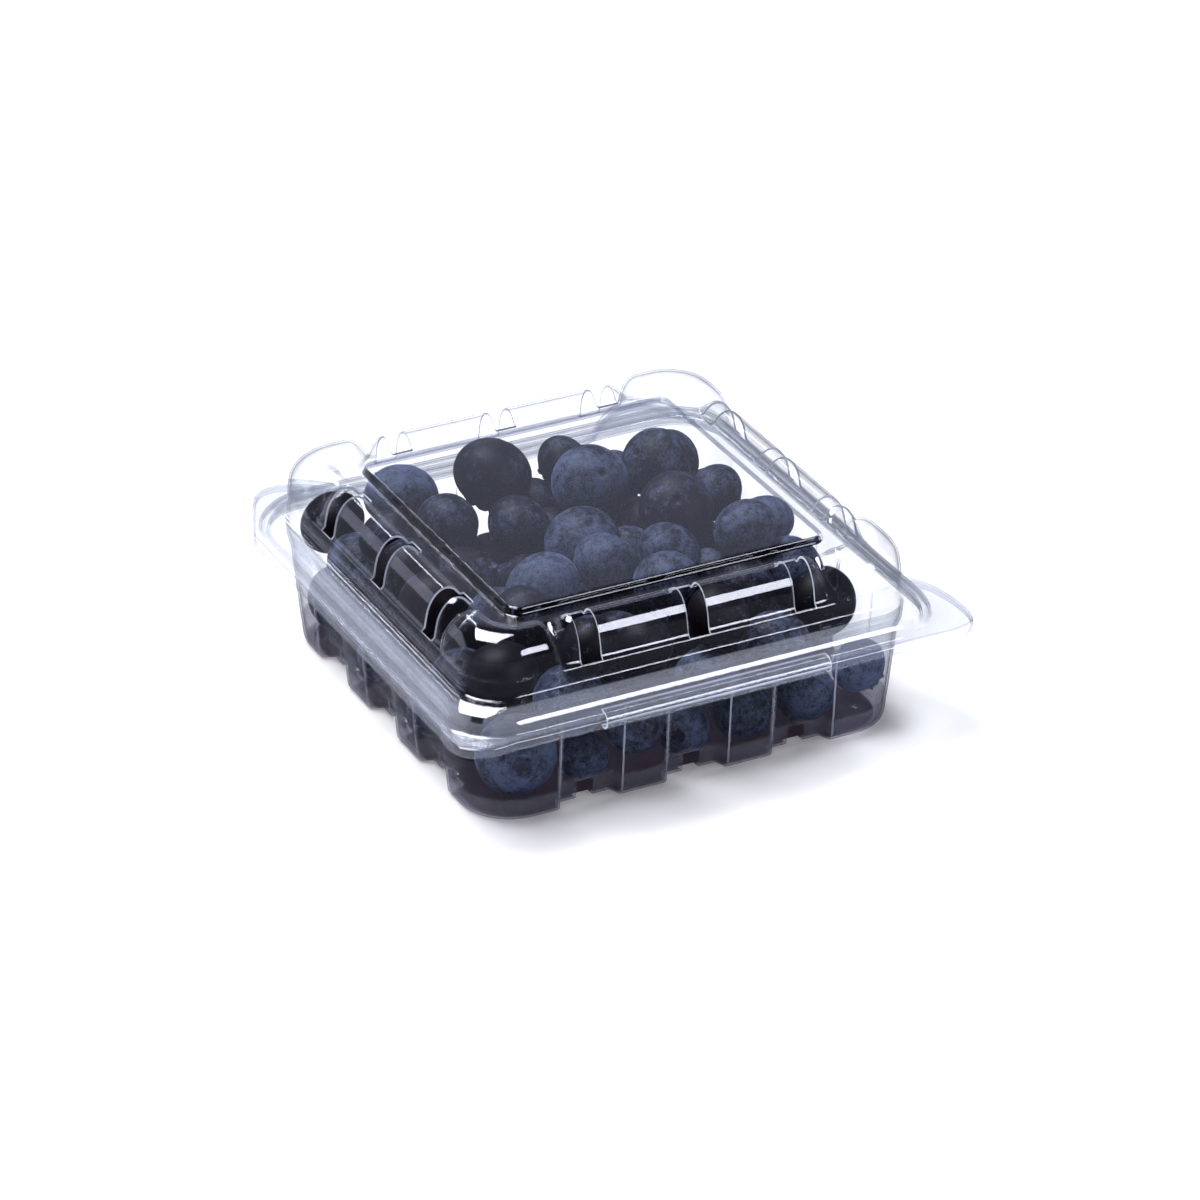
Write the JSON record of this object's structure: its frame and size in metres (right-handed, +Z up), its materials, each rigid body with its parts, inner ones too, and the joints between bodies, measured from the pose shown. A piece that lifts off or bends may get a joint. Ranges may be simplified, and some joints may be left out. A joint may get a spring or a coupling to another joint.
{
  "type": "punnet",
  "caption": "Shut clear clamshell punnet with a hinged vented lid, corner domes, ears to open it by and a fluted tray, filled with a heap of loose blueberries",
  "frame": {"origin": "middle of the underside of the tray's floor", "axes": "+Z up, the hinge runs along X on the -Y side, the lid opens from the +Y side"},
  "size_m": [0.1176, 0.123, 0.0419],
  "materials": {
    "clear_plastic": "gloss",
    "berry_skin": "satin"
  },
  "bodies": {
    "tray": {"punnet_tray": "clear_plastic", "blueberry_heap": "berry_skin"},
    "lid": {"punnet_lid": "clear_plastic"}
  },
  "joints": [
    {"name": "lid_hinge", "type": "hinge", "parent": "tray", "child": "lid", "pos_m": [0, -0.0573, 0.02375], "axis": [1, 0, 0], "range_deg": [0, 175]}
  ]
}
